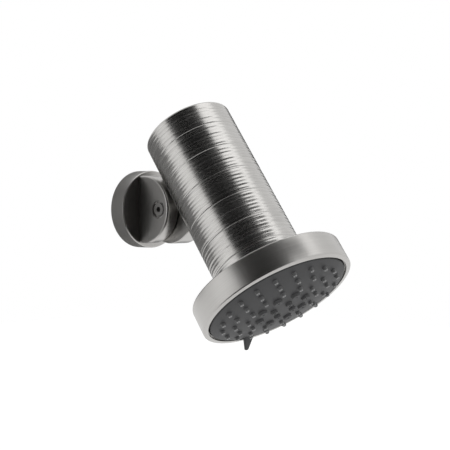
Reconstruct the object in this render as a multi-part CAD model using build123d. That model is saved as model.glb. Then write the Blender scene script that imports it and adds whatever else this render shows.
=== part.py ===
"""Wall-mounted tilting shower head, in millimetres.

Frame: the wall is the plane y = 0, the room lies towards -Y, +Z is up, and the origin is the centre of the
rosette's back face. The head tilts about a hinge along X. Everything that tilts is drawn upright about its
own Z axis, level with the hinge, and is then leaned back by the tilt angle.
"""
from build123d import *
import math
import os

# Wall bracket: a turned rosette with a flat-sided tongue
rosette_d = 47.0
rosette_depth = 11.0
rosette_chamfer = 0.7
tongue_r = 20.3
tongue_reach = 25.5
tongue_flat = 10.7
tongue_chamfer = 0.6
lap_offset = 1.8

# Supply: threaded nipple, strainer and washer in the back of the rosette
thread_r = 10.48
thread_length = 12.0
socket_r = 10.9
socket_depth = 5.5
nipple_bore_r = 7.5
washer_thickness = 1.5
washer_bore_r = 8.4
strainer_thickness = 1.2
strainer_rim = 1.2
strainer_slot = 1.2
strainer_bar = 1.2
strainer_slots = 5

# Hinge: hollow bolt through the tongue and the knuckle
hinge_out = 28.0
hinge_to_body = 13.0
tilt = 36.4
knuckle_r = 20.5
knuckle_far = 11.2
knuckle_chamfer = 0.8
lap_gap = 0.4
pocket_gap = 0.5
bolt_r = 4.2
bolt_bore_r = 2.6
bolt_head_r = 5.25
bolt_head_height = 3.0
bolt_dish_r = 4.8
bolt_dish_depth = 1.6
hex_socket_af = 3.0
hex_socket_depth = 1.8
bolt_web = 1.0
bolt_port = 2.6
chamber_r = 7.2
chamber_width = 3.0
feed_slot_width = 2.8
feed_slot_height = 10.0
seal_width = 1.3
seal_depth = 0.7
nut_af = 13.0
nut_height = 2.8
nut_recess_r = 8.2
nut_wall = 0.8
friction_washer_r = 12.2
friction_washer_bore_r = 8.0
friction_washer_thickness = 1.2

# Body: ringed sleeve with a closed top, and the water core inside it
body_d = 53.0
body_wall = 2.0
body_above_hinge = 29.2
body_length = 105.0
body_top_thickness = 2.5
body_top_chamfer = 0.9
groove_first = 15.0
groove_pitch = 15.8
groove_count = 6
groove_width = 1.1
groove_depth = 0.45
spigot_r = 5.4
spigot_length = 11.0
passage_r = 2.6
core_r = 9.0
core_bore_r = 6.0
core_head = 12.0
core_top = 3.0
boss_r = 10.5
core_flange_r = 14.0
core_flange_thickness = 2.5
core_nut_af = 24.0
core_nut_height = 2.2
regulator_height = 4.0
regulator_hole_r = 2.2

# Head ring and the fixed distributor inside it
ring_d = 90.0
ring_depth = 15.3
ring_top_thickness = 2.2
ring_top_chamfer = 0.8
rim_width = 3.4
rim_chamfer = 0.6
collar_height = 6.0
collar_thickness = 1.9
distributor_thickness = 2.2
distributor_drop = 6.8
port_side = 4.2
centre_port_circle_r = 11.0
outer_port_circle_r = 28.0
port_count = 4
port_turn = 45.0
screw_post_gap = 2.4
screw_count = 3
screw_phase = 30.0
screw_r = 1.9
screw_head_r = 3.5
screw_post_side = 8.4
screw_tip_wall = 1.0
detent_circle_r = 20.0
detent_length = 14.0
detent_width = 4.0
detent_clearance = 0.4
detent_thickness = 0.45
detent_bump_r = 1.2
detent_bump_height = 0.25

# Selector: domed spray face with its jets and lever, and the jet plate behind it
face_gap = 0.6
face_dome = 6.0
face_skirt = 1.6
face_ledge = 1.2
face_edge_wall = 1.6
face_centre_wall = 2.3
selector_gap = 0.4
jet_plate_thickness = 2.2
chamber_wall_r = 17.0
chamber_wall_thickness = 1.0
stem_r = 5.0
stem_top = 1.4
clip_r = 7.4
clip_thickness = 0.7
clip_groove_depth = 1.0
clip_mouth = 6.0
nub_base_r = 1.45
nub_sides = 8
nub_taper = 6.0
nub_sunk = 1.0
nub_height = 2.0
outer_nub_circle_r = 35.0
outer_nub_count = 20
outer_nub_phase = 7.6
middle_nub_circle_r = 28.0
middle_nub_count = 16
middle_nub_phase = 1.0
inner_nub_circle_r = 20.5
inner_nub_count = 12
inner_nub_phase = 19.3
outer_jet_circle_r = 14.2
outer_jet_count = 8
outer_jet_phase = 36.3
outer_jet_r = 2.6
inner_jet_circle_r = 6.5
inner_jet_count = 4
inner_jet_phase = 80.0
inner_jet_r = 2.0
jet_sides = 12
jet_taper = 4.0
jet_height = 1.9
jet_bore_r = 0.9
lever_angle = 77.5
lever_root_width = 6.6
lever_root_thickness = 2.6
lever_tip_width = 2.2
lever_tip_thickness = 1.5
lever_root_in = 3.5
lever_root_up = 0.6
lever_out = 8.8
lever_forward = 5.6

# Running and seating clearances
running_fit = 0.05
seat_fit = 0.02

# Worked-out sizes
rosette_r = rosette_d / 2
body_r = body_d / 2
hinge_to_axis = body_r + hinge_to_body
body_bore_r = body_r - body_wall
ring_r = ring_d / 2
ring_bore_r = ring_r - rim_width
screw_circle_r = ring_bore_r - screw_post_side / 2 - screw_post_gap
body_top_z = body_above_hinge
ring_top_z = body_top_z - body_length
ring_front_z = ring_top_z - ring_depth
ring_under_z = ring_top_z - ring_top_thickness
core_end_z = ring_under_z - core_nut_height
distributor_top_z = ring_top_z - distributor_drop
distributor_low_z = distributor_top_z - distributor_thickness
jet_plate_top_z = distributor_low_z - selector_gap
jet_plate_low_z = jet_plate_top_z - jet_plate_thickness
face_r = ring_bore_r - face_gap
face_inner_r = face_r - face_skirt
dome_r = (face_r ** 2 + face_dome ** 2) / (2 * face_dome)
face_apex_z = ring_front_z - face_dome
tongue_tip = rosette_depth + tongue_reach
knuckle_near = lap_offset - lap_gap
bolt_head_low = tongue_flat - bolt_head_height
bolt_bore_start = tongue_flat - bolt_dish_depth - hex_socket_depth - bolt_web
tongue_port = lap_offset + (bolt_bore_start - lap_offset) / 2
nut_seat = knuckle_far - nut_height - seat_fit
far_seal = nut_seat - seal_width - nut_wall
near_seal = nut_wall
knuckle_port = (near_seal + seal_width + far_seal) / 2
nub_rows = [
    (outer_nub_circle_r, outer_nub_count, outer_nub_phase),
    (middle_nub_circle_r, middle_nub_count, middle_nub_phase),
    (inner_nub_circle_r, inner_nub_count, inner_nub_phase)]
jet_rows = [
    (outer_jet_circle_r, outer_jet_count, outer_jet_phase, outer_jet_r),
    (inner_jet_circle_r, inner_jet_count, inner_jet_phase, inner_jet_r)]
hex_corner = 1 / math.sqrt(3)
spigot_end = math.sqrt(body_bore_r ** 2 - (knuckle_port + spigot_r) ** 2) - spigot_length

# Placements: local Z of each becomes the direction in its name
OUT_OF_WALL = Rot(90, 0, 0)
HINGE_AXIS = Pos(0, -hinge_out, 0) * Rot(0, 90, 0)
HEAD = Pos(0, -hinge_out, 0) * Rot(-tilt, 0, 0) * Pos(0, -hinge_to_axis, 0)
HEAD_HINGE = Pos(0, hinge_to_axis, 0) * Rot(0, 90, 0)
SPIGOT_AXIS = Pos(knuckle_port, 0, 0) * Rot(-90, 0, 0)
SIDE = Plane(origin=(0, 0, 0), x_dir=(0, -1, 0), z_dir=(-1, 0, 0))
HEAD_SIDE = Plane(origin=(0, hinge_to_axis, 0), x_dir=(0, -1, 0), z_dir=(-1, 0, 0))


def rod(radius, low, high):
    """Solid cylinder on the Z axis between two heights."""
    return Pos(0, 0, low) * extrude(Circle(radius), high - low)


def ring(outer_r, inner_r, low, high):
    """Plain ring on the Z axis between two heights."""
    return Pos(0, 0, low) * extrude(Circle(outer_r) - Circle(inner_r), high - low)


def turned(points):
    """Solid of revolution about Z from an outline of (radius, height) points."""
    outline = Polyline(*[(r, 0, z) for r, z in points], close=True)
    return revolve(make_face(outline), Axis.Z)


def around(count, radius, phase, shape):
    """Copies of a shape on a circle about Z."""
    return [Rot(0, 0, phase + 360 / count * i) * Pos(radius, 0, 0) * shape for i in range(count)]


# Wall side

def wall_bracket():
    body = OUT_OF_WALL * turned([
        (0, 0), (rosette_r, 0), (rosette_r, rosette_depth - rosette_chamfer),
        (rosette_r - rosette_chamfer, rosette_depth), (0, rosette_depth)])
    root = rosette_depth / 2
    round_end = tongue_tip - tongue_r
    outline = Pos(round_end, 0) * Circle(tongue_r)
    outline += Pos((root + round_end) / 2, 0) * Rectangle(round_end - root, 2 * tongue_r)
    outline &= Pos((root + tongue_tip) / 2, 0) * Rectangle(tongue_tip - root, 2 * tongue_r)
    tongue = extrude(SIDE.offset(lap_offset) * outline, tongue_flat - lap_offset)
    rim = tongue.faces().sort_by(Axis.X)[0].edges().sort_by(Axis.Y)[:-1]
    tongue = chamfer(rim, tongue_chamfer)
    body += tongue
    body -= HINGE_AXIS * rod(knuckle_r + pocket_gap, -lap_offset, knuckle_far + pocket_gap)
    body -= OUT_OF_WALL * rod(socket_r, 0, socket_depth)
    body -= HINGE_AXIS * rod(bolt_head_r + seat_fit, -tongue_flat, -bolt_head_low)
    body -= HINGE_AXIS * rod(bolt_r + seat_fit, -tongue_flat, 0)
    body -= HINGE_AXIS * Pos(0, 0, -tongue_port) * rod(chamber_r, -chamber_width / 2, chamber_width / 2)
    feed_length = hinge_out - bolt_r - socket_depth
    feed = Box(feed_slot_width, feed_slot_height, feed_length)
    body -= OUT_OF_WALL * Pos(-tongue_port, 0, socket_depth + feed_length / 2) * feed
    return body


def inlet_nipple():
    seat = -(socket_depth - washer_thickness)
    nipple = turned([
        (nipple_bore_r, seat), (socket_r - seat_fit, seat), (socket_r - seat_fit, 0), (thread_r, 0),
        (thread_r, thread_length), (nipple_bore_r, thread_length)])
    return Rot(-90, 0, 0) * nipple


def inlet_washer():
    seat = socket_depth - washer_thickness
    return OUT_OF_WALL * ring(socket_r - seat_fit, washer_bore_r, seat, socket_depth)


def inlet_strainer():
    disc = rod(nipple_bore_r - seat_fit, 0, strainer_thickness)
    reach = nipple_bore_r - strainer_rim
    for i in range(strainer_slots):
        middle = (i - (strainer_slots - 1) / 2) * (strainer_slot + strainer_bar)
        edge = abs(middle) + strainer_slot / 2
        length = 2 * math.sqrt(reach ** 2 - edge ** 2)
        disc -= Pos(middle, 0, strainer_thickness / 2) * Box(strainer_slot, length, strainer_thickness)
    return OUT_OF_WALL * disc


def pivot_bolt():
    end = nut_seat + nut_height - nut_wall
    outline = [
        (0, -tongue_flat + bolt_dish_depth), (hex_socket_af / 2, -tongue_flat + bolt_dish_depth),
        (bolt_dish_r, -tongue_flat), (bolt_head_r, -tongue_flat), (bolt_head_r, -bolt_head_low),
        (bolt_r, -bolt_head_low)]
    for groove in (near_seal, far_seal):
        outline += [
            (bolt_r, groove), (bolt_r - seal_depth, groove), (bolt_r - seal_depth, groove + seal_width),
            (bolt_r, groove + seal_width)]
    outline += [
        (bolt_r, end), (bolt_bore_r, end), (bolt_bore_r, -bolt_bore_start), (0, -bolt_bore_start)]
    bolt = turned(outline)
    socket_floor = -tongue_flat + bolt_dish_depth + hex_socket_depth
    hexagon = RegularPolygon(hex_socket_af * hex_corner, 6)
    bolt -= Pos(0, 0, socket_floor) * extrude(hexagon, -hex_socket_depth)
    for height in (-tongue_port, knuckle_port):
        bolt -= Pos(0, 0, height) * Box(bolt_port, 2 * bolt_r, bolt_port)
    return HINGE_AXIS * bolt


def pivot_seals():
    rings = []
    for groove in (near_seal, far_seal):
        seal = ring(bolt_r + seat_fit, bolt_r - seal_depth, groove, groove + seal_width)
        rings.append(HINGE_AXIS * seal)
    return Compound(children=rings)


def pivot_nut():
    nut = extrude(RegularPolygon(nut_af * hex_corner, 6), nut_height)
    nut -= rod(bolt_r + seat_fit, 0, nut_height - nut_wall)
    return HINGE_AXIS * Pos(0, 0, nut_seat + seat_fit) * nut


# Tilting side: knuckle and body

def head_knuckle():
    outline = Circle(knuckle_r)
    outline += Pos(hinge_to_axis / 2, 0) * Rectangle(hinge_to_axis, 2 * knuckle_r)
    knuckle = extrude(HEAD_SIDE.offset(-knuckle_far) * outline, knuckle_far + knuckle_near)
    far_rim = knuckle.faces().sort_by(Axis.X)[-1].edges().sort_by(Axis.Y)[1:]
    knuckle = chamfer(far_rim, knuckle_chamfer)
    knuckle -= rod(body_r + seat_fit, -body_length, body_length)
    spigot = SPIGOT_AXIS * rod(spigot_r, spigot_end, body_r + body_wall)
    knuckle += spigot
    passage_end = hinge_to_axis - (bolt_r + chamber_r) / 2
    knuckle -= SPIGOT_AXIS * rod(passage_r, spigot_end, passage_end)
    knuckle -= HEAD_HINGE * rod(bolt_r + running_fit, -knuckle_near, knuckle_far)
    knuckle -= HEAD_HINGE * Pos(0, 0, knuckle_port) * rod(chamber_r, -chamber_width / 2, chamber_width / 2)
    knuckle -= HEAD_HINGE * rod(nut_recess_r, nut_seat, knuckle_far)
    recess = friction_washer_thickness - lap_gap + seat_fit
    pocket = ring(friction_washer_r + seat_fit, friction_washer_bore_r - seat_fit, 0, recess)
    knuckle -= HEAD_HINGE * Pos(0, 0, -knuckle_near) * pocket
    return HEAD * knuckle


def friction_washer():
    low = -lap_offset + seat_fit
    high = low + friction_washer_thickness
    return HEAD * HEAD_HINGE * ring(friction_washer_r, friction_washer_bore_r, low, high)


def body_shell():
    outline = [(body_bore_r, ring_top_z), (body_r, ring_top_z)]
    for i in reversed(range(groove_count)):
        middle = body_top_z - groove_first - i * groove_pitch
        outline += [
            (body_r, middle - groove_width / 2), (body_r - groove_depth, middle),
            (body_r, middle + groove_width / 2)]
    outline += [
        (body_r, body_top_z - body_top_chamfer), (body_r - body_top_chamfer, body_top_z), (0, body_top_z),
        (0, body_top_z - body_top_thickness), (body_bore_r, body_top_z - body_top_thickness)]
    shell = turned(outline)
    shell -= SPIGOT_AXIS * rod(spigot_r + seat_fit, 0, body_d)
    return HEAD * shell


def water_core():
    flange_top = ring_top_z + core_flange_thickness
    core = turned([
        (0, core_head), (core_r, core_head), (core_r, flange_top), (core_flange_r, flange_top),
        (core_flange_r, ring_top_z), (core_r, ring_top_z), (core_r, core_end_z), (0, core_end_z)])
    boss = SPIGOT_AXIS * rod(boss_r, 0, body_r)
    core += boss & rod(body_bore_r - seat_fit, -body_length, body_length)
    core -= rod(core_bore_r, core_end_z, core_head - core_top)
    core -= SPIGOT_AXIS * rod(spigot_r + seat_fit, spigot_end, body_d)
    core -= SPIGOT_AXIS * rod(passage_r, 0, spigot_end)
    return HEAD * core


def core_nut():
    outline = RegularPolygon(core_nut_af * hex_corner, 6) - Circle(core_r + seat_fit)
    return HEAD * Pos(0, 0, core_end_z) * extrude(outline, core_nut_height)


def flow_regulator():
    return HEAD * ring(core_bore_r - seat_fit, regulator_hole_r, core_end_z, core_end_z + regulator_height)


# Tilting side: head ring and distributor

def head_ring():
    collar_r = body_bore_r - seat_fit
    shell = turned([
        (core_r + seat_fit, ring_top_z), (collar_r - collar_thickness, ring_top_z),
        (collar_r - collar_thickness, ring_top_z + collar_height), (collar_r, ring_top_z + collar_height),
        (collar_r, ring_top_z), (ring_r - ring_top_chamfer, ring_top_z),
        (ring_r, ring_top_z - ring_top_chamfer), (ring_r, ring_front_z + rim_chamfer),
        (ring_r - rim_chamfer, ring_front_z), (ring_bore_r, ring_front_z), (ring_bore_r, ring_under_z),
        (core_r + seat_fit, ring_under_z)])
    post_height = ring_under_z - distributor_top_z
    block = Box(screw_post_side, screw_post_side, post_height)
    post = Pos(0, 0, distributor_top_z + post_height / 2) * block
    for boss in around(screw_count, screw_circle_r, screw_phase, post):
        shell += boss
    hole = rod(screw_r + seat_fit, distributor_top_z, ring_under_z - screw_tip_wall)
    for tapped in around(screw_count, screw_circle_r, screw_phase, hole):
        shell -= tapped
    return HEAD * shell


def countersunk_screw(clearance):
    cone_depth = screw_head_r - screw_r
    return turned([
        (0, distributor_low_z), (screw_head_r + clearance, distributor_low_z),
        (screw_r + clearance, distributor_low_z + cone_depth),
        (screw_r + clearance, ring_under_z - screw_tip_wall), (0, ring_under_z - screw_tip_wall)])


def distributor_plate():
    plate = ring(ring_bore_r - seat_fit, stem_r + running_fit, distributor_low_z, distributor_top_z)
    port = Pos(0, 0, distributor_low_z) * Box(port_side, port_side, 3 * distributor_thickness)
    for hole in around(port_count, centre_port_circle_r, port_turn, port):
        plate -= hole
    for hole in around(port_count, outer_port_circle_r, 0, port):
        plate -= hole
    for hole in around(screw_count, screw_circle_r, screw_phase, countersunk_screw(seat_fit)):
        plate -= hole
    recess_depth = detent_thickness + detent_bump_height
    recess = Box(detent_length + detent_clearance, detent_width + detent_clearance, 2 * recess_depth)
    plate -= Pos(0, detent_circle_r, distributor_low_z) * recess
    return HEAD * plate


def distributor_screws():
    screws = around(screw_count, screw_circle_r, screw_phase, countersunk_screw(0))
    return Compound(children=[HEAD * screw for screw in screws])


def detent_spring():
    middle = distributor_low_z + detent_bump_height + detent_thickness / 2
    leaf = Pos(0, detent_circle_r, middle) * Box(detent_length, detent_width, detent_thickness)
    bump = Pos(0, detent_circle_r, 0) * rod(detent_bump_r, distributor_low_z - detent_bump_height, middle)
    return HEAD * (leaf + bump)


# Turning side: spray face and jet plate

def dome_z(radius):
    """Height of the domed front of the face at a distance from its centre."""
    return face_apex_z + dome_r - math.sqrt(dome_r ** 2 - radius ** 2)


def face_blank():
    """Domed disc with its skirt. The dome is a stack of cones, one for each row of nubs or jets."""
    rows = sorted(row[0] for row in nub_rows + jet_rows)
    breaks = [(a + b) / 2 for a, b in zip(rows, rows[1:])] + [(rows[-1] + face_r) / 2]
    ledge_r = face_inner_r - face_ledge
    front = [(0, dome_z(breaks[0]))] + [(r, dome_z(r)) for r in breaks]
    return turned(front + [
        (face_r, ring_front_z), (face_r, jet_plate_top_z), (face_inner_r, jet_plate_top_z),
        (face_inner_r, jet_plate_low_z), (ledge_r, jet_plate_low_z),
        (ledge_r, ring_front_z + face_edge_wall), (0, face_apex_z + face_centre_wall)])


def lever():
    """Tapered thumb lever that leans out over the rim from the edge of the face."""
    lean = math.degrees(math.atan2(lever_forward, lever_out))
    span = math.hypot(lever_out, lever_forward)
    start = Pos(face_r - lever_root_in, 0, ring_front_z + lever_root_up) * Rot(0, 90 + lean, 0)
    root = start * Rectangle(lever_root_thickness, lever_root_width)
    tip = start * Pos(0, 0, span) * Rectangle(lever_tip_thickness, lever_tip_width)
    return Rot(0, 0, lever_angle) * loft([root, tip], ruled=True)


def spray_face():
    face = face_blank()
    for radius, count, phase in nub_rows:
        peg = extrude(RegularPolygon(nub_base_r, nub_sides), nub_height + nub_sunk, taper=nub_taper)
        nub = Pos(0, 0, dome_z(radius) + nub_sunk) * Rot(180, 0, 0) * peg
        for copy in around(count, radius, phase, nub):
            face += copy
    for radius, count, phase, jet_r in jet_rows:
        peg = extrude(RegularPolygon(jet_r, jet_sides), jet_height + nub_sunk, taper=jet_taper)
        jet = Pos(0, 0, dome_z(radius) + nub_sunk) * Rot(180, 0, 0) * peg
        bore_low = dome_z(radius) - 2 * jet_height
        bore = Pos(0, 0, bore_low) * extrude(RegularPolygon(jet_bore_r, nub_sides), jet_plate_low_z - bore_low)
        for copy in around(count, radius, phase, jet):
            face += copy
        for copy in around(count, radius, phase, bore):
            face -= copy
    face += lever()
    return HEAD * face


def jet_plate():
    plate = rod(face_inner_r - seat_fit, jet_plate_low_z, jet_plate_top_z)
    rise = ring_front_z + face_edge_wall - face_apex_z - face_centre_wall
    cone_rise = rise / (face_inner_r - face_ledge)
    wall_low = face_apex_z + face_centre_wall + cone_rise * chamber_wall_r + seat_fit
    plate += ring(chamber_wall_r, chamber_wall_r - chamber_wall_thickness, wall_low, jet_plate_low_z)
    stem_top_z = distributor_top_z + stem_top
    clip_low = distributor_top_z + 2 * running_fit
    plate += rod(stem_r, jet_plate_top_z, stem_top_z)
    plate -= ring(2 * stem_r, stem_r - clip_groove_depth, clip_low, clip_low + clip_thickness)
    port = Pos(0, 0, jet_plate_low_z) * Box(port_side, port_side, 3 * jet_plate_thickness)
    for circle_r in (centre_port_circle_r, outer_port_circle_r):
        for hole in around(port_count, circle_r, 0, port):
            plate -= hole
    return HEAD * plate


def retaining_clip():
    low = distributor_top_z + 2 * running_fit
    bore = stem_r - clip_groove_depth + seat_fit
    outline = Circle(clip_r) - Circle(bore) - Pos(clip_r, 0) * Rectangle(2 * clip_r, clip_mouth)
    return HEAD * Pos(0, 0, low + seat_fit / 2) * extrude(outline, clip_thickness - seat_fit)


pieces = {
    "wall_bracket": wall_bracket(),
    "inlet_nipple": inlet_nipple(),
    "inlet_washer": inlet_washer(),
    "inlet_strainer": inlet_strainer(),
    "pivot_bolt": pivot_bolt(),
    "pivot_seals": pivot_seals(),
    "pivot_nut": pivot_nut(),
    "friction_washer": friction_washer(),
    "head_knuckle": head_knuckle(),
    "body_shell": body_shell(),
    "water_core": water_core(),
    "core_nut": core_nut(),
    "flow_regulator": flow_regulator(),
    "head_ring": head_ring(),
    "distributor_plate": distributor_plate(),
    "distributor_screws": distributor_screws(),
    "detent_spring": detent_spring(),
    "spray_face": spray_face(),
    "jet_plate": jet_plate(),
    "retaining_clip": retaining_clip(),
}

os.makedirs("parts", exist_ok=True)
for name, piece in pieces.items():
    export_step(piece, f"parts/{name}.step")
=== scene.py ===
# %% [markdown]
# This lesson dresses a wall-mounted shower head in Blender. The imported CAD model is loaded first. It is the
# fixed frame: every piece made here goes where the CAD says, in metres, and moves with one of its bodies.

# %% Load the frame
import math

import bpy
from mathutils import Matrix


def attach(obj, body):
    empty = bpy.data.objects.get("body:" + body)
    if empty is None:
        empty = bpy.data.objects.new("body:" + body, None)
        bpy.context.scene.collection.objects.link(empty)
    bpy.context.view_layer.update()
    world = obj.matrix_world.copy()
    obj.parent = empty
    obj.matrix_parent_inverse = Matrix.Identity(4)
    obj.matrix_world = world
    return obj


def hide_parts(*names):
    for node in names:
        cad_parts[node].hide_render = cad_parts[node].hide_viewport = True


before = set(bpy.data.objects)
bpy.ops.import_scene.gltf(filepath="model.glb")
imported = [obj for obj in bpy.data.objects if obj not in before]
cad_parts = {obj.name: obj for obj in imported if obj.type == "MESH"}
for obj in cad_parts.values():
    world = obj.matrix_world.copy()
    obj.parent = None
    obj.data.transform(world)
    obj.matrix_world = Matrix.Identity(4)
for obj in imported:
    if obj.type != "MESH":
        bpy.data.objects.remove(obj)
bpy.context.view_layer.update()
MM = 0.001

# %% [markdown]
# The head leans back from the wall. A turned piece is easiest to draw upright about the Z axis, level with
# the hinge, and to lean back when it is done. These values repeat the CAD's, in millimetres and degrees.

# %% Sizes taken from the CAD
HINGE_OUT = 28.0
HINGE_TO_AXIS = 39.5
TILT = math.radians(36.4)
BODY_R = 26.5
BODY_BORE_R = 24.5
BODY_TOP = 29.2
RING_TOP = BODY_TOP - 105.0
RING_FRONT = RING_TOP - 15.3
RING_R = 45.0
RING_BORE_R = 41.6
FACE_R = 41.0
FACE_DOME = 6.0
FACE_APEX = RING_FRONT - FACE_DOME
DOME_R = (FACE_R ** 2 + FACE_DOME ** 2) / (2 * FACE_DOME)
ROSETTE_R = 23.5
ROSETTE_DEPTH = 11.0
TONGUE_R = 20.3
TONGUE_FLAT = 10.7
TONGUE_LAP = 1.8
TONGUE_TIP = 36.5
KNUCKLE_R = 20.5
KNUCKLE_NEAR = -1.4
KNUCKLE_FAR = 11.2
print("ring front at", round(RING_FRONT, 2), "mm, dome radius", round(DOME_R, 1), "mm")

# %% [markdown]
# An operator acts on everything that is selected, so each piece starts from an empty selection. Small helpers
# do what a hand would do again and again: pick one object, apply its place, cut one solid with another, join
# pieces, round the edges, set the shading, and lean a head piece back into its place.

# %% Helpers for selecting, cutting and placing
def only(piece):
    """Select one object and make it active."""
    if bpy.context.object and bpy.context.object.mode != "OBJECT":
        bpy.ops.object.mode_set(mode="OBJECT")
    bpy.ops.object.select_all(action="DESELECT")
    piece.select_set(True)
    bpy.context.view_layer.objects.active = piece


def settle(piece):
    """Apply place, turn and size, so that the object sits at the origin."""
    only(piece)
    bpy.ops.object.transform_apply(location=True, rotation=True, scale=True)


def combine(piece, tool, how):
    """Cut, join or keep what two solids share, and delete the tool."""
    only(piece)
    change = piece.modifiers.new("combine", "BOOLEAN")
    change.object = tool
    change.operation = how
    change.solver = "EXACT"
    bpy.ops.object.modifier_apply(modifier=change.name)
    bpy.data.objects.remove(tool, do_unlink=True)


def joined(name, pieces):
    """Join several objects into one."""
    bpy.ops.object.select_all(action="DESELECT")
    for piece in pieces:
        piece.select_set(True)
    bpy.context.view_layer.objects.active = pieces[0]
    bpy.ops.object.join()
    whole = bpy.context.object
    whole.name = name
    return whole


def round_edges(piece, width, segments=3, angle=35):
    """Round the sharp edges with a bevel modifier, in millimetres."""
    only(piece)
    change = piece.modifiers.new("round", "BEVEL")
    change.width = width * MM
    change.segments = segments
    change.limit_method = "ANGLE"
    change.angle_limit = math.radians(angle)
    bpy.ops.object.modifier_apply(modifier=change.name)


def smooth(piece, angle=32):
    """Shade curved faces smooth and keep the edges crisp."""
    only(piece)
    bpy.ops.object.shade_smooth_by_angle(angle=math.radians(angle))


def keep_flats(piece):
    """Let large faces set the normals, so that a flat stays flat up to its rounded edge."""
    only(piece)
    change = piece.modifiers.new("flats", "WEIGHTED_NORMAL")
    change.keep_sharp = True
    bpy.ops.object.modifier_apply(modifier=change.name)


def lean(piece):
    """Move an upright head piece to its place on the hinge."""
    piece.rotation_euler = (-TILT, 0, 0)
    piece.location = (
        0, -(HINGE_OUT + HINGE_TO_AXIS * math.cos(TILT)) * MM, HINGE_TO_AXIS * math.sin(TILT) * MM)
    settle(piece)


print("helpers ready")

# %% [markdown]
# Most pieces of a shower head are turned on a lathe, and the rest are flat plates. Both start as a line of
# points. By hand, one point is extruded to the next until the outline is drawn. The lathe then spins it about
# the Z axis. Points that meet are merged, and the normals are made to face out.

# %% Drawing and lathe helpers
def draw(name, points):
    """Draw a line from point to point by extruding, and stay in edit mode."""
    bpy.ops.object.select_all(action="DESELECT")
    bpy.ops.mesh.primitive_plane_add(size=MM)
    piece = bpy.context.object
    piece.name = name
    bpy.ops.object.mode_set(mode="EDIT")
    bpy.ops.mesh.select_mode(type="VERT")
    bpy.ops.mesh.select_all(action="SELECT")
    bpy.ops.mesh.merge(type="CENTER")
    bpy.ops.transform.translate(value=[v * MM for v in points[0]])
    for here, there in zip(points, points[1:]):
        step = [(b - a) * MM for a, b in zip(here, there)]
        bpy.ops.mesh.extrude_region_move(TRANSFORM_OT_translate={"value": step})
    bpy.ops.mesh.select_all(action="SELECT")
    return piece


def lathe(name, outline, steps=128):
    """Spin an outline of (radius, height) points about the Z axis."""
    piece = draw(name, [(r, 0, z) for r, z in outline])
    bpy.ops.mesh.spin(steps=steps, angle=2 * math.pi, center=(0, 0, 0), axis=(0, 0, 1))
    bpy.ops.mesh.select_all(action="SELECT")
    bpy.ops.mesh.remove_doubles(threshold=1e-6)
    bpy.ops.mesh.normals_make_consistent(inside=False)
    bpy.ops.object.mode_set(mode="OBJECT")
    return piece


def plate(name, points, thickness):
    """Fill a closed outline of points and extrude it by a thickness (x, y, z)."""
    piece = draw(name, points + points[:1])
    bpy.ops.mesh.remove_doubles(threshold=1e-6)
    bpy.ops.mesh.select_all(action="SELECT")
    bpy.ops.mesh.edge_face_add()
    bpy.ops.mesh.extrude_region_move(TRANSFORM_OT_translate={"value": [v * MM for v in thickness]})
    bpy.ops.mesh.select_all(action="SELECT")
    bpy.ops.mesh.normals_make_consistent(inside=False)
    bpy.ops.object.mode_set(mode="OBJECT")
    return piece


def arc(centre, radius, start, end, count):
    """Points along an arc, in degrees, for a rounded corner of an outline."""
    angles = [math.radians(start + (end - start) * i / count) for i in range(count + 1)]
    return [(centre[0] + radius * math.cos(a), centre[1] + radius * math.sin(a)) for a in angles]


print("lathe ready")

# %% [markdown]
# The body is a sleeve with turned rings: a sharp groove about every sixteen millimetres and shallow, uneven
# waves between them. A bump would not catch the light as broadly, so the rings are real: the outline of the
# lathe is a row of small cosine waves, with a groove at every seventh crest. The depth of a wave drifts
# from one to the next.

# %% Body sleeve
GROOVE_FIRST = 15.0
GROOVE_PITCH = 15.8
GROOVE_HALF = 0.56
GROOVE_DEPTH = 0.22
WAVES = 7
WAVE_DEPTH = 0.16
WAVE_STEPS = 8
WAVE_MEAN = 0.65
WAVE_DRIFT = 0.35
WAVE_TURN = 2.4
WAVE_PITCH = GROOVE_PITCH / WAVES
BODY_EDGE_R = 1.4
BODY_TOP_THICK = 2.5
PLAIN_END = 0.6


def sleeve_radius(below):
    """Radius of the sleeve at a distance below its first groove."""
    count = below / WAVE_PITCH
    depth = WAVE_DEPTH * (WAVE_MEAN + WAVE_DRIFT * math.sin(WAVE_TURN * math.floor(count)))
    wave = depth * (1 - math.cos(2 * math.pi * count)) / 2
    from_groove = abs(below - GROOVE_PITCH * round(below / GROOVE_PITCH))
    return BODY_R - wave - GROOVE_DEPTH * max(0, 1 - from_groove / GROOVE_HALF)


def body_outline():
    step = WAVE_PITCH / WAVE_STEPS
    first_groove = BODY_TOP - GROOVE_FIRST
    lowest = math.floor((first_groove - RING_TOP - PLAIN_END) / step)
    highest = math.ceil((BODY_EDGE_R + PLAIN_END - GROOVE_FIRST) / step)
    points = [(BODY_R, RING_TOP)]
    for i in range(lowest, highest - 1, -1):
        points.append((sleeve_radius(i * step), first_groove - i * step))
    points += arc((BODY_R - BODY_EDGE_R, BODY_TOP - BODY_EDGE_R), BODY_EDGE_R, 0, 90, 5)
    points += [(0, BODY_TOP), (0, BODY_TOP - BODY_TOP_THICK)]
    return points + [(BODY_BORE_R, BODY_TOP - BODY_TOP_THICK), (BODY_BORE_R, RING_TOP), (BODY_R, RING_TOP)]


body_sleeve = lathe("body_sleeve", body_outline(), 144)
smooth(body_sleeve, 25)
lean(body_sleeve)
keep_flats(body_sleeve)
print("body sleeve faces:", len(body_sleeve.data.polygons))

# %% [markdown]
# The head ring is smooth. Its front rim falls back a little to the outside and ends in a small radius, like
# its upper edge. Only the wall and the top plate show, and the rest follows the CAD so that nothing meets.

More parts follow.
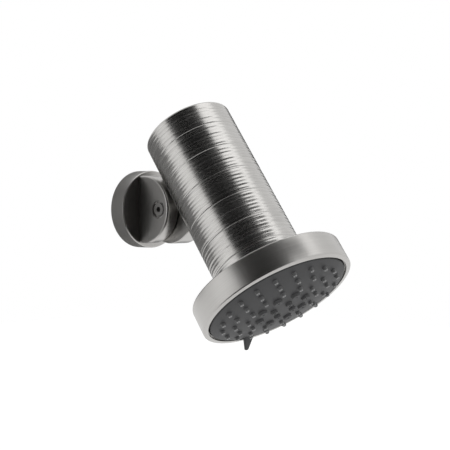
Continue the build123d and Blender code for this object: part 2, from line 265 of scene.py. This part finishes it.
# %% Head ring
RING_UNDER = RING_TOP - 2.2
RING_EDGE_R = 1.0
RIM_ROUND = 0.8
RIM_FALL = 0.3
RIM_IN = RING_BORE_R + 0.45
RIM_STEP = 1.5
RIM_BREAK = 0.2
COLLAR_R = BODY_BORE_R - 0.02
COLLAR_WALL = 1.9
COLLAR_HEIGHT = 6.0
CORE_HOLE_R = 9.02
COLLAR_IN_R = COLLAR_R - COLLAR_WALL
ring_outline = [
    (CORE_HOLE_R, RING_TOP), (COLLAR_IN_R, RING_TOP), (COLLAR_IN_R, RING_TOP + COLLAR_HEIGHT),
    (COLLAR_R, RING_TOP + COLLAR_HEIGHT), (COLLAR_R, RING_TOP)]
ring_outline += arc((RING_R - RING_EDGE_R, RING_TOP - RING_EDGE_R), RING_EDGE_R, 90, 0, 5)
ring_outline += arc((RING_R - RIM_ROUND, RING_FRONT + RIM_FALL + RIM_ROUND), RIM_ROUND, 0, -80, 5)
ring_outline += [
    (RIM_IN + RIM_BREAK, RING_FRONT), (RIM_IN, RING_FRONT + RIM_BREAK), (RIM_IN, RING_FRONT + RIM_STEP),
    (RING_BORE_R, RING_FRONT + RIM_STEP), (RING_BORE_R, RING_UNDER), (CORE_HOLE_R, RING_UNDER),
    (CORE_HOLE_R, RING_TOP)]
head_band = lathe("head_band", ring_outline, 192)
smooth(head_band)
lean(head_band)
print("head band faces:", len(head_band.data.polygons))

# %% [markdown]
# The spray face is a shallow dome with a skirt that runs up inside the ring. Its outline bends gently to the
# edge, where a narrow gap to the ring shows as a dark line.

# %% Spray face
SKIRT_WALL = 1.6
LEDGE_WIDTH = 1.2
SKIRT_R = FACE_R - SKIRT_WALL
LEDGE_R = SKIRT_R - LEDGE_WIDTH
DISTRIBUTOR_TOP = RING_TOP - 6.8
PLATE_THICK = 2.2
SELECTOR_GAP = 0.4
JET_PLATE_TOP = DISTRIBUTOR_TOP - PLATE_THICK - SELECTOR_GAP
JET_PLATE_LOW = JET_PLATE_TOP - PLATE_THICK
FACE_EDGE_R = 0.4
FACE_WALL = 2.3
LEDGE_WALL = 1.6
DOME_STEPS = 24


def dome_height(radius):
    return FACE_APEX + DOME_R - math.sqrt(DOME_R ** 2 - radius ** 2)


dome_radii = [FACE_R * i / DOME_STEPS for i in range(DOME_STEPS)]
face_outline = [(radius, dome_height(radius)) for radius in dome_radii]
face_outline += [
    (FACE_R - FACE_EDGE_R, dome_height(FACE_R - FACE_EDGE_R)), (FACE_R, RING_FRONT + FACE_EDGE_R),
    (FACE_R, JET_PLATE_TOP), (SKIRT_R, JET_PLATE_TOP), (SKIRT_R, JET_PLATE_LOW), (LEDGE_R, JET_PLATE_LOW),
    (LEDGE_R, RING_FRONT + LEDGE_WALL), (0, FACE_APEX + FACE_WALL)]
spray_dome = lathe("spray_dome", face_outline, 160)
smooth(spray_dome)
lean(spray_dome)
print("spray dome faces:", len(spray_dome.data.polygons))

# %% [markdown]
# Each jet is a soft nub with a small hole in its tip. One nub is turned on the lathe and copied around a
# circle of the face. Three outer rows are slim, and the two rows in the middle are wide jets of another
# spray. The copies of each kind are joined into one piece.

# %% Jet nubs
NUB_SUNK = 0.6
NUB_EDGE = 0.2
NUB_SIDES = 24
JET_DEEP = 1.0
FACES_FRONT = -0.3
SLIM_NUB = (1.4, 1.08, 1.8, 0.42)
SLIM_ROWS = [(35.0, 20, 7.6), (28.0, 16, 1.0), (20.5, 12, 19.3)]
WIDE_NUBS = [(2.6, 2.5, 1.4, 0.6), (2.0, 1.9, 1.4, 0.6)]
WIDE_ROWS = [(14.2, 8, 36.3), (6.5, 4, 80.0)]


def row_of_nubs(shape, row):
    """Turn one nub and copy it around a circle: (base, tip, height, bore) and (circle, count, phase)."""
    base_r, tip_r, height, bore_r = shape
    row_r, count, phase = row
    first = lathe("nub", [
        (0, NUB_SUNK), (base_r, NUB_SUNK), (base_r, 0), (tip_r, NUB_EDGE - height),
        (tip_r - NUB_EDGE, -height), (bore_r, -height), (bore_r, JET_DEEP - height),
        (0, JET_DEEP - height)], NUB_SIDES)
    smooth(first, 40)
    copies = []
    for i in range(count):
        turn = math.radians(phase + 360 / count * i)
        only(first)
        bpy.ops.object.duplicate()
        nub = bpy.context.object
        nub.location = (row_r * math.cos(turn) * MM, row_r * math.sin(turn) * MM, dome_height(row_r) * MM)
        copies.append(nub)
    bpy.data.objects.remove(first, do_unlink=True)
    return copies


slim = [nub for row in SLIM_ROWS for nub in row_of_nubs(SLIM_NUB, row)]
jet_nubs = joined("jet_nubs", slim)
settle(jet_nubs)
# The faces that point out of the dome are the slim nub tips, which later take a painted highlight.
painted_highlight_tips = [side.index for side in jet_nubs.data.polygons if side.normal.z < FACES_FRONT]
lean(jet_nubs)
wide = [nub for shape, row in zip(WIDE_NUBS, WIDE_ROWS) for nub in row_of_nubs(shape, row)]
wide_jets = joined("wide_jets", wide)
settle(wide_jets)
wide_tips = [side.index for side in wide_jets.data.polygons if side.normal.z < FACES_FRONT]
lean(wide_jets)
print("slim nubs:", len(slim), "wide jets:", len(wide))

# %% [markdown]
# The thumb lever is a tapered tab on the edge of the face. A cube is stretched, its outer end is scaled
# down in edit mode, and a bevel softens it like a moulded part. It leans out over the rim.

# %% Thumb lever
LEVER_ANGLE = 77.5
LEVER_ROOT = (37.5, RING_FRONT + 0.6)
LEVER_OUT = 8.8
LEVER_FORWARD = 5.6
LEVER_ROOT_SIZE = (2.6, 7.2)
LEVER_TIP_SIZE = (1.5, 2.2)
LEVER_EDGE = 0.6
lever_span = math.hypot(LEVER_OUT, LEVER_FORWARD)
bpy.ops.object.select_all(action="DESELECT")
bpy.ops.mesh.primitive_cube_add(size=1.0, location=(0, 0, 0.5))
thumb_lever = bpy.context.object
thumb_lever.name = "thumb_lever"
settle(thumb_lever)
thumb_lever.scale = (LEVER_ROOT_SIZE[0] * MM, LEVER_ROOT_SIZE[1] * MM, lever_span * MM)
settle(thumb_lever)
bpy.ops.object.mode_set(mode="EDIT")
bpy.ops.mesh.select_all(action="DESELECT")
bpy.ops.object.mode_set(mode="OBJECT")
for side in thumb_lever.data.polygons:
    side.select = side.normal.z > 0.9
bpy.ops.object.mode_set(mode="EDIT")
shrink = (LEVER_TIP_SIZE[0] / LEVER_ROOT_SIZE[0], LEVER_TIP_SIZE[1] / LEVER_ROOT_SIZE[1], 1)
bpy.ops.transform.resize(value=shrink)
bpy.ops.object.mode_set(mode="OBJECT")
round_edges(thumb_lever, LEVER_EDGE, 4, 30)
thumb_lever.rotation_euler = (0, math.radians(90) + math.atan2(LEVER_FORWARD, LEVER_OUT), 0)
thumb_lever.location = (LEVER_ROOT[0] * MM, 0, LEVER_ROOT[1] * MM)
settle(thumb_lever)
thumb_lever.rotation_euler = (0, 0, math.radians(LEVER_ANGLE))
settle(thumb_lever)
smooth(thumb_lever)
lean(thumb_lever)
print("lever length:", round(lever_span, 1), "mm")

# %% [markdown]
# The bracket is a turned rosette with a flat tongue that ends in a half circle. The tongue's outline is
# drawn, filled and extruded along the hinge, and its edges are bevelled before it joins the rosette. A pocket
# is then cut for the knuckle, a round recess for the hinge bolt, and a socket at the back for the supply.

# %% Wall bracket
PLATE_VERTS = 128
CLEAR = 5.0


def disc_along_x(radius, low, high, centre_y):
    """A round cutter with its axis along X."""
    bpy.ops.object.select_all(action="DESELECT")
    bpy.ops.mesh.primitive_cylinder_add(
        vertices=PLATE_VERTS, radius=radius * MM, depth=(high - low) * MM,
        location=((low + high) / 2 * MM, centre_y * MM, 0), rotation=(0, math.radians(90), 0))
    disc = bpy.context.object
    settle(disc)
    return disc


ROSETTE_EDGE = 0.7
rosette_outline = [(0, 0), (ROSETTE_R, 0), (ROSETTE_R, ROSETTE_DEPTH - ROSETTE_EDGE)]
rosette_outline += arc((ROSETTE_R - ROSETTE_EDGE, ROSETTE_DEPTH - ROSETTE_EDGE), ROSETTE_EDGE, 0, 90, 4)
rosette_outline += [(0, ROSETTE_DEPTH)]
bracket = lathe("bracket", rosette_outline, 160)
bracket.rotation_euler = (math.radians(90), 0, 0)
settle(bracket)
TONGUE_ROOT = -5.0
TONGUE_EDGE = 1.5
tongue_outline = arc((TONGUE_R - TONGUE_TIP, 0), TONGUE_R, 90, 270, 64)
tongue_outline += [(TONGUE_ROOT, -TONGUE_R), (TONGUE_ROOT, TONGUE_R)]
tongue_points = [(-TONGUE_FLAT, y, z) for y, z in tongue_outline]
tongue = plate("tongue", tongue_points, (TONGUE_FLAT - TONGUE_LAP, 0, 0))
round_edges(tongue, TONGUE_EDGE, 4, 40)
combine(bracket, tongue, "UNION")
POCKET_GAP = 0.5
POCKET_R = KNUCKLE_R + POCKET_GAP
LAP_FIT = 0.02
POCKET_START = LAP_FIT - TONGUE_LAP
combine(bracket, disc_along_x(POCKET_R, POCKET_START, KNUCKLE_FAR + POCKET_GAP, -HINGE_OUT), "DIFFERENCE")
BOLT_HEAD_R = 5.25
BOLT_HEAD_SEAT = -7.7
BOLT_R = 4.2
OUTSIDE = -TONGUE_FLAT - CLEAR
HEAD_GAP = 0.12
BOLT_FIT = 0.02
combine(bracket, disc_along_x(BOLT_HEAD_R + HEAD_GAP, OUTSIDE, BOLT_HEAD_SEAT, -HINGE_OUT), "DIFFERENCE")
combine(bracket, disc_along_x(BOLT_R + BOLT_FIT, OUTSIDE, CLEAR, -HINGE_OUT), "DIFFERENCE")
NIPPLE_SOCKET_R = 10.9
SOCKET_DEPTH = 5.5
bpy.ops.object.select_all(action="DESELECT")
bpy.ops.mesh.primitive_cylinder_add(
    vertices=PLATE_VERTS, radius=NIPPLE_SOCKET_R * MM, depth=2 * SOCKET_DEPTH * MM,
    rotation=(math.radians(90), 0, 0))
socket_tool = bpy.context.object
settle(socket_tool)
combine(bracket, socket_tool, "DIFFERENCE")
smooth(bracket)
keep_flats(bracket)
print("bracket faces:", len(bracket.data.polygons))

# %% [markdown]
# The knuckle is the arm on the body. It laps against the tongue, so its near side is flat, and its other
# end is hollowed to sit on the sleeve. The hinge nut sits in a round recess on the far side, and a thin
# washer in a shallow one on the near side, small enough to hide behind the end of the tongue.

# %% Knuckle and hinge washer
WASHER_IN_R = BOLT_R + 0.2
WASHER_R = 6.5
WASHER_THICK = 1.2
WASHER_NEAR = LAP_FIT - TONGUE_LAP
WASHER_FAR = WASHER_NEAR + WASHER_THICK
TURN_FIT = 0.05
NEAR_OUTSIDE = KNUCKLE_NEAR - CLEAR
NUT_RECESS_R = 8.2
NUT_SEAT = 8.38
KNUCKLE_EDGE = 0.7
SADDLE_R = BODY_R + 0.02
SADDLE_HALF = 60.0
knuckle_outline = arc((HINGE_TO_AXIS, 0), KNUCKLE_R, -90, 90, 64)
knuckle_outline += [(0, KNUCKLE_R), (0, -KNUCKLE_R)]
knuckle_points = [(KNUCKLE_NEAR, y, z) for y, z in knuckle_outline]
knuckle = plate("knuckle", knuckle_points, (KNUCKLE_FAR - KNUCKLE_NEAR, 0, 0))
round_edges(knuckle, KNUCKLE_EDGE, 3, 40)
saddle_outline = [(0, -SADDLE_HALF), (SADDLE_R, -SADDLE_HALF), (SADDLE_R, SADDLE_HALF), (0, SADDLE_HALF)]
combine(knuckle, lathe("saddle", saddle_outline, 144), "DIFFERENCE")
combine(knuckle, disc_along_x(NUT_RECESS_R, NUT_SEAT, KNUCKLE_FAR + CLEAR, HINGE_TO_AXIS), "DIFFERENCE")
combine(knuckle, disc_along_x(BOLT_R + TURN_FIT, NEAR_OUTSIDE, KNUCKLE_FAR, HINGE_TO_AXIS), "DIFFERENCE")
washer_recess = disc_along_x(WASHER_R + TURN_FIT, NEAR_OUTSIDE, WASHER_FAR + LAP_FIT, HINGE_TO_AXIS)
combine(knuckle, washer_recess, "DIFFERENCE")
smooth(knuckle)
lean(knuckle)
keep_flats(knuckle)
washer_outline = [
    (WASHER_IN_R, WASHER_NEAR), (WASHER_R, WASHER_NEAR), (WASHER_R, WASHER_FAR), (WASHER_IN_R, WASHER_FAR),
    (WASHER_IN_R, WASHER_NEAR)]
hinge_washer = lathe("hinge_washer", washer_outline, 64)
smooth(hinge_washer)
hinge_washer.rotation_euler = (0, math.radians(90), 0)
hinge_washer.location = (0, -HINGE_OUT * MM, 0)
settle(hinge_washer)
print("knuckle faces:", len(knuckle.data.polygons), "washer faces:", len(hinge_washer.data.polygons))

# %% [markdown]
# The hinge bolt shows only its head: a round plate, slightly dished, with a turned groove and a hexagon
# socket. Dish and groove come from the lathe outline. The socket is a six-sided cylinder that is cut out.

# %% Hinge bolt
DISH_DEPTH = 0.3
BOLT_GROOVE_IN = 4.1
BOLT_GROOVE_OUT = 4.9
BOLT_GROOVE_DEPTH = 1.0
SLOPE_IN = 0.3
SLOPE_OUT = 0.2
BOLT_EDGE = 0.1
HEX_ACROSS = 3.0
HEX_LENGTH = 6.0
SOCKET_R = HEX_ACROSS / math.sqrt(3)
SOCKET_DEEP = 1.8
BOLT_END = 10.38
DISH_FLOOR = -TONGUE_FLAT + DISH_DEPTH
GROOVE_FLOOR = -TONGUE_FLAT + BOLT_GROOVE_DEPTH
bolt_outline = [
    (0, DISH_FLOOR), (BOLT_GROOVE_IN - SLOPE_IN, DISH_FLOOR), (BOLT_GROOVE_IN, GROOVE_FLOOR),
    (BOLT_GROOVE_OUT - SLOPE_OUT, GROOVE_FLOOR), (BOLT_GROOVE_OUT, -TONGUE_FLAT),
    (BOLT_HEAD_R - BOLT_EDGE, -TONGUE_FLAT), (BOLT_HEAD_R, -TONGUE_FLAT + BOLT_EDGE),
    (BOLT_HEAD_R, BOLT_HEAD_SEAT), (BOLT_R, BOLT_HEAD_SEAT), (BOLT_R, BOLT_END), (0, BOLT_END)]
hinge_bolt = lathe("hinge_bolt", bolt_outline, 96)
bpy.ops.object.select_all(action="DESELECT")
socket_middle = DISH_FLOOR + SOCKET_DEEP - HEX_LENGTH / 2
bpy.ops.mesh.primitive_cylinder_add(
    vertices=6, radius=SOCKET_R * MM, depth=HEX_LENGTH * MM, location=(0, 0, socket_middle * MM))
hex_tool = bpy.context.object
settle(hex_tool)
combine(hinge_bolt, hex_tool, "DIFFERENCE")
smooth(hinge_bolt)
hinge_bolt.rotation_euler = (0, math.radians(90), 0)
hinge_bolt.location = (0, -HINGE_OUT * MM, 0)
settle(hinge_bolt)
print("hinge bolt faces:", len(hinge_bolt.data.polygons))

# %% [markdown]
# A finish turned on a lathe has fine lines around the axis. One node group makes them from Object
# coordinates: bands along an axis, broken up by noise. It gives a roughness and a height, and each metal
# places it with its own direction and amount.

# %% Turned-line node group
lines = bpy.data.node_groups.new("turned_lines", "ShaderNodeTree")
lines.interface.new_socket("Vector", in_out="INPUT", socket_type="NodeSocketVector")
for socket in ("Rings per metre", "Smooth", "Rough"):
    lines.interface.new_socket(socket, in_out="INPUT", socket_type="NodeSocketFloat")
for socket in ("Roughness", "Height", "Tone"):
    lines.interface.new_socket(socket, in_out="OUTPUT", socket_type="NodeSocketFloat")
group_in = lines.nodes.new("NodeGroupInput")
group_out = lines.nodes.new("NodeGroupOutput")
squash = lines.nodes.new("ShaderNodeMapping")
squash.inputs["Scale"].default_value = (0.008, 0.008, 1.0)
streaks = lines.nodes.new("ShaderNodeTexNoise")
streaks.inputs["Detail"].default_value = 3.0
blotch = lines.nodes.new("ShaderNodeTexNoise")
blotch.inputs["Scale"].default_value = 60.0
blotch.inputs["Detail"].default_value = 2.0
both = lines.nodes.new("ShaderNodeMath")
both.operation = "MULTIPLY_ADD"
both.inputs[1].default_value = 0.35
spread = lines.nodes.new("ShaderNodeMapRange")
spread.inputs["From Min"].default_value = 0.35
spread.inputs["From Max"].default_value = 0.95
link = lines.links.new
link(group_in.outputs["Vector"], squash.inputs["Vector"])
link(squash.outputs["Vector"], streaks.inputs["Vector"])
link(group_in.outputs["Rings per metre"], streaks.inputs["Scale"])
link(group_in.outputs["Vector"], blotch.inputs["Vector"])
link(blotch.outputs["Fac"], both.inputs[0])
link(streaks.outputs["Fac"], both.inputs[2])
link(both.outputs["Value"], spread.inputs["Value"])
link(group_in.outputs["Smooth"], spread.inputs["To Min"])
link(group_in.outputs["Rough"], spread.inputs["To Max"])
link(spread.outputs["Result"], group_out.inputs["Roughness"])
link(streaks.outputs["Fac"], group_out.inputs["Height"])
link(both.outputs["Value"], group_out.inputs["Tone"])
print("node group:", lines.name)

# %% [markdown]
# The metal is satin: bright where it faces a light, nearly black where it faces nothing. Base colour is a
# slightly warm grey that varies with the turned lines. The head's lines run around its leaning axis, so
# the mapping turns the coordinates back upright first.

# %% Metal finishes
def turned_metal(name, turn, colours, smooth_rough, rings, bump):
    material = bpy.data.materials.new(name)
    material.use_nodes = True
    nodes, joins = material.node_tree.nodes, material.node_tree.links
    shader = nodes["Principled BSDF"]
    shader.inputs["Metallic"].default_value = 1.0
    where = nodes.new("ShaderNodeTexCoord")
    mapping = nodes.new("ShaderNodeMapping")
    mapping.inputs["Rotation"].default_value = turn
    group = nodes.new("ShaderNodeGroup")
    group.node_tree = lines
    group.inputs["Rings per metre"].default_value = rings
    group.inputs["Smooth"].default_value = smooth_rough[0]
    group.inputs["Rough"].default_value = smooth_rough[1]
    tint = nodes.new("ShaderNodeMix")
    tint.data_type = "RGBA"
    tint.inputs["A"].default_value = (*colours[0], 1)
    tint.inputs["B"].default_value = (*colours[1], 1)
    relief = nodes.new("ShaderNodeBump")
    relief.inputs["Strength"].default_value = bump
    relief.inputs["Distance"].default_value = 0.05 * MM
    joins.new(where.outputs["Object"], mapping.inputs["Vector"])
    joins.new(mapping.outputs["Vector"], group.inputs["Vector"])
    joins.new(group.outputs["Tone"], tint.inputs["Factor"])
    joins.new(tint.outputs["Result"], shader.inputs["Base Color"])
    joins.new(group.outputs["Roughness"], shader.inputs["Roughness"])
    joins.new(group.outputs["Height"], relief.inputs["Height"])
    joins.new(relief.outputs["Normal"], shader.inputs["Normal"])
    return material


UPRIGHT = (TILT, 0, 0)
ALONG_HINGE = (0, math.radians(90), 0)
TO_WALL = (math.radians(90), 0, 0)
METAL = ((0.38, 0.372, 0.36), (0.49, 0.48, 0.465))
CALM = ((0.42, 0.411, 0.398), (0.46, 0.45, 0.436))
STREAKED = ((0.26, 0.254, 0.246), (0.56, 0.55, 0.533))
sleeve_metal = turned_metal("sleeve_metal", UPRIGHT, STREAKED, (0.18, 0.32), 1600.0, 0.10)
band_metal = turned_metal("band_metal", UPRIGHT, METAL, (0.30, 0.36), 3000.0, 0.04)
bracket_metal = turned_metal("bracket_metal", TO_WALL, CALM, (0.26, 0.32), 3000.0, 0.02)
bolt_metal = turned_metal("bolt_metal", ALONG_HINGE, CALM, (0.20, 0.28), 5000.0, 0.05)
BRASS = ((0.60, 0.42, 0.16), (0.72, 0.54, 0.24))
STEEL = ((0.50, 0.50, 0.50), (0.62, 0.62, 0.62))
brass = turned_metal("warm_brass", TO_WALL, BRASS, (0.28, 0.42), 1500.0, 0.1)
steel = turned_metal("plain_steel", UPRIGHT, STEEL, (0.25, 0.4), 1200.0, 0.1)
print("metals:", [m.name for m in (sleeve_metal, band_metal, bracket_metal, bolt_metal, brass, steel)])

# %% [markdown]
# The face and the nubs are a soft grey plastic with a fine grain, and the seals are black rubber. All use one
# recipe: a fine noise for the grain and a wide, faint one that lets the colour drift a little. The tips of
# the slim nubs are painted paler than their sides, a painted highlight for the light they catch from below.

# %% Plastic and rubber finishes
def moulded(name, colours, roughness, grain, bump):
    material = bpy.data.materials.new(name)
    material.use_nodes = True
    nodes, joins = material.node_tree.nodes, material.node_tree.links
    shader = nodes["Principled BSDF"]
    where = nodes.new("ShaderNodeTexCoord")
    fine = nodes.new("ShaderNodeTexNoise")
    fine.inputs["Scale"].default_value = grain
    wide = nodes.new("ShaderNodeTexNoise")
    wide.inputs["Scale"].default_value = 45.0
    tint = nodes.new("ShaderNodeMix")
    tint.data_type = "RGBA"
    tint.inputs["A"].default_value = (*colours[0], 1)
    tint.inputs["B"].default_value = (*colours[1], 1)
    rough = nodes.new("ShaderNodeMapRange")
    rough.inputs["To Min"].default_value = roughness[0]
    rough.inputs["To Max"].default_value = roughness[1]
    relief = nodes.new("ShaderNodeBump")
    relief.inputs["Strength"].default_value = bump
    relief.inputs["Distance"].default_value = 0.05 * MM
    for texture in (fine, wide):
        joins.new(where.outputs["Object"], texture.inputs["Vector"])
    joins.new(wide.outputs["Fac"], tint.inputs["Factor"])
    joins.new(tint.outputs["Result"], shader.inputs["Base Color"])
    joins.new(fine.outputs["Fac"], rough.inputs["Value"])
    joins.new(rough.outputs["Result"], shader.inputs["Roughness"])
    joins.new(fine.outputs["Fac"], relief.inputs["Height"])
    joins.new(relief.outputs["Normal"], shader.inputs["Normal"])
    return material


FACE_GREY = ((0.027, 0.027, 0.028), (0.035, 0.035, 0.037))
NUB_GREY = ((0.095, 0.095, 0.096), (0.115, 0.115, 0.117))
# The tip grey is a painted highlight: the slim nub tips are made paler than their sides for the light they
# catch from below.
TIP_PAINTED_HIGHLIGHT = ((0.22, 0.22, 0.22), (0.27, 0.27, 0.27))
PALE = ((0.66, 0.66, 0.64), (0.72, 0.72, 0.70))
BLACK = ((0.018, 0.018, 0.018), (0.030, 0.030, 0.030))
face_plastic = moulded("face_plastic", FACE_GREY, (0.5, 0.62), 2500.0, 0.15)
nub_plastic = moulded("nub_plastic", NUB_GREY, (0.40, 0.5), 2500.0, 0.1)
# This finish paints the highlight on the slim nub tips.
tip_painted_highlight = moulded("tip_painted_highlight", TIP_PAINTED_HIGHLIGHT, (0.30, 0.4), 2500.0, 0.1)
pale_plastic = moulded("pale_plastic", PALE, (0.4, 0.5), 1800.0, 0.1)
rubber = moulded("rubber", BLACK, (0.6, 0.75), 1500.0, 0.2)
print("plastics ready")

# %% [markdown]
# Now each piece gets its finish, rides on its body and stands for its CAD node. The tips of the slim nubs
# take a paler finish, a painted highlight for the light they catch, and the tips of the wide jets take the
# face's finish.
# The other inner pieces keep their CAD shapes and only take a finish.

# %% Dress the pieces and tie them to the bodies
DRESSED = [
    (bracket, bracket_metal, "wall", "satin_metal", ["wall_bracket"]),
    (hinge_bolt, bolt_metal, "wall", "satin_metal", ["pivot_bolt"]),
    (knuckle, bracket_metal, "head", "satin_metal", ["head_knuckle"]),
    (hinge_washer, pale_plastic, "head", "white_plastic", ["friction_washer"]),
    (body_sleeve, sleeve_metal, "head", "satin_metal", ["body_shell"]),
    (head_band, band_metal, "head", "satin_metal", ["head_ring"]),
    (spray_dome, face_plastic, "selector", "grey_face", ["spray_face"]),
    (jet_nubs, nub_plastic, "selector", "grey_face", []),
    (wide_jets, nub_plastic, "selector", "grey_face", []),
    (thumb_lever, face_plastic, "selector", "grey_face", []),
]
for piece, finish, body, slot, nodes in DRESSED:
    piece.data.materials.clear()
    piece.data.materials.append(finish)
    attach(piece, body)
    if nodes:
        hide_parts(*nodes)

# The slim nub tips take the paler painted-highlight finish, and the wide jet tips take the face's finish.
for piece, tips, finish in ((jet_nubs, painted_highlight_tips, tip_painted_highlight), (wide_jets, wide_tips, face_plastic)):
    piece.data.materials.append(finish)
    for index in tips:
        piece.data.polygons[index].material_index = 1

CAD_FINISH = {
    "inlet_nipple": brass, "core_nut": brass, "inlet_strainer": steel, "pivot_nut": steel,
    "distributor_screws": steel, "detent_spring": steel, "retaining_clip": steel,
    "inlet_washer": rubber, "pivot_seals": rubber, "water_core": pale_plastic,
    "flow_regulator": pale_plastic, "distributor_plate": pale_plastic,
    "jet_plate": face_plastic}
for node, finish in CAD_FINISH.items():
    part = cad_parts[node]
    part.data.materials.clear()
    part.data.materials.append(finish)
print("pieces:", len(DRESSED), "CAD nodes kept:", len(CAD_FINISH))

# %% [markdown]
# The object stands in front of plain white. The world is white to the camera, in reflections and through
# clear things, and weaker as a light. The floor glows a little to the same eyes, so that it joins the
# background, and still takes the shadow of the object.

# %% World and floor
WORLD_LIGHT = 0.8
FLOOR_GLOW = 0.4
FLOOR_HEIGHT = -0.45


def seen_directly(nodes, link):
    """One where the camera, a reflection or a clear thing looks, and zero for other light."""
    paths = nodes.new("ShaderNodeLightPath")
    result = paths.outputs["Is Camera Ray"]
    for ray in ("Is Glossy Ray", "Is Transmission Ray"):
        larger = nodes.new("ShaderNodeMath")
        larger.operation = "MAXIMUM"
        link(result, larger.inputs[0])
        link(paths.outputs[ray], larger.inputs[1])
        result = larger.outputs["Value"]
    return result


world = bpy.data.worlds.new("studio")
bpy.context.scene.world = world
world.use_nodes = True
world_nodes, world_link = world.node_tree.nodes, world.node_tree.links.new
backdrop = world_nodes["Background"]
backdrop.inputs["Color"].default_value = (1, 1, 1, 1)
level = world_nodes.new("ShaderNodeMapRange")
level.inputs["To Min"].default_value = WORLD_LIGHT
level.inputs["To Max"].default_value = 1.0
world_link(seen_directly(world_nodes, world_link), level.inputs["Value"])
world_link(level.outputs["Result"], backdrop.inputs["Strength"])

bpy.ops.object.select_all(action="DESELECT")
bpy.ops.mesh.primitive_plane_add(size=6.0, location=(0, 0, FLOOR_HEIGHT))
floor = bpy.context.object
floor.name = "floor"
pale = bpy.data.materials.new("pale_floor")
pale.use_nodes = True
floor_nodes, floor_link = pale.node_tree.nodes, pale.node_tree.links.new
floor_shader = floor_nodes["Principled BSDF"]
floor_shader.inputs["Base Color"].default_value = (0.8, 0.8, 0.8, 1)
floor_shader.inputs["Roughness"].default_value = 0.9
floor_shader.inputs["Emission Color"].default_value = (1, 1, 1, 1)
glow = floor_nodes.new("ShaderNodeMapRange")
glow.inputs["To Max"].default_value = FLOOR_GLOW
floor_link(seen_directly(floor_nodes, floor_link), glow.inputs["Value"])
floor_link(glow.outputs["Result"], floor_shader.inputs["Emission Strength"])
floor.data.materials.append(pale)
print("world and floor ready")

# %% [markdown]
# Bare metal takes its look from what it mirrors, and white all around would wash it out. A photographer hangs
# dark cards beside the object. Each card is placed along a mirror direction: one above and to the left for
# the dark middle of the sleeve, a small one that carries the dark on over the head ring, and a grey board
# behind the rosette for its rim and the tongue. The corner between rosette and tongue throws light back to
# where it came from, so a card behind the camera darkens it. One low at the left does the same for the end of
# the tongue, and one far to the right draws a thin dark line along the right edges.

# %% Dark cards
TARGET = (0.02365, -0.050, -0.00943)


def card_paper(name, grey):
    paper = bpy.data.materials.new(name)
    paper.use_nodes = True
    paper.node_tree.nodes["Principled BSDF"].inputs["Base Color"].default_value = (grey, grey, grey, 1)
    paper.node_tree.nodes["Principled BSDF"].inputs["Roughness"].default_value = 1.0
    return paper


black_paper = card_paper("black_paper", 0.01)
grey_paper = card_paper("grey_paper", 0.36)


def card(name, paper, direction, distance, width, height, roll=0):
    """A card that faces the object, out of the camera's sight."""
    bpy.ops.object.select_all(action="DESELECT")
    bpy.ops.mesh.primitive_plane_add(size=1.0)
    sheet = bpy.context.object
    sheet.name = name
    sheet.scale = (width, height, 1)
    settle(sheet)
    sheet.rotation_euler = (0, 0, math.radians(roll))
    settle(sheet)
    sheet.location = [t + d * distance for t, d in zip(TARGET, direction)]
    flat = math.hypot(direction[0], direction[1])
    sheet.rotation_euler = (math.atan2(flat, direction[2]), 0, math.atan2(direction[0], -direction[1]))
    sheet.data.materials.append(paper)
    sheet.visible_camera = False
    sheet.visible_diffuse = False
    sheet.visible_shadow = False
    return sheet


card("card_middle", black_paper, (-0.683, -0.255, 0.682), 0.9, 1.33, 1.3, 36)
card("card_ring", black_paper, (-0.107, -0.698, 0.716), 0.344, 0.193, 0.11)
card("card_wall", grey_paper, (0.0, 1.0, 0.0), 0.066, 0.228, 0.104)
card("card_right", black_paper, (0.84, 0.53, 0.14), 0.9, 0.45, 0.5)
card("card_room", black_paper, (-0.716, -0.698, 0.02), 0.9, 1.2, 0.9)
card("card_left", black_paper, (-0.74, -0.42, -0.53), 0.5, 0.8, 0.6)
print("cards placed")

# %% [markdown]
# Two large soft lamps shape the plastic and brighten the two light bands of the sleeve. The camera stands
# nearly level with the object and to its left, with a long lens.

# %% Lamps and camera
def soft_lamp(name, place, size, power):
    data = bpy.data.lights.new(name, "AREA")
    data.size = size
    data.energy = power
    lamp = bpy.data.objects.new(name, data)
    bpy.context.scene.collection.objects.link(lamp)
    lamp.location = place
    aim = [t - p for t, p in zip(TARGET, place)]
    flat = math.hypot(aim[0], aim[1])
    lamp.rotation_euler = (math.atan2(flat, -aim[2]), 0, math.atan2(-aim[0], aim[1]))
    return lamp


soft_lamp("key", (0.17, -0.55, 0.95), 0.9, 2.0)
soft_lamp("fill", (-0.95, 0.34, 0.13), 0.7, 0.5)

camera_data = bpy.data.cameras.new("camera")
camera_data.lens = 90.0
camera_data.sensor_width = 36.0
camera = bpy.data.objects.new("camera", camera_data)
bpy.context.scene.collection.objects.link(camera)
AZIMUTH = math.radians(-45.7)
ELEVATION = math.radians(1.15)
DISTANCE = 0.6776
level_out = math.cos(ELEVATION)
back = (math.sin(AZIMUTH) * level_out, -math.cos(AZIMUTH) * level_out, math.sin(ELEVATION))
camera.location = [t + b * DISTANCE for t, b in zip(TARGET, back)]
camera.rotation_euler = (math.radians(90) - ELEVATION, 0, AZIMUTH)
bpy.context.scene.camera = camera
bpy.context.scene.view_settings.view_transform = "Standard"
print("camera at", [round(v, 4) for v in camera.location])
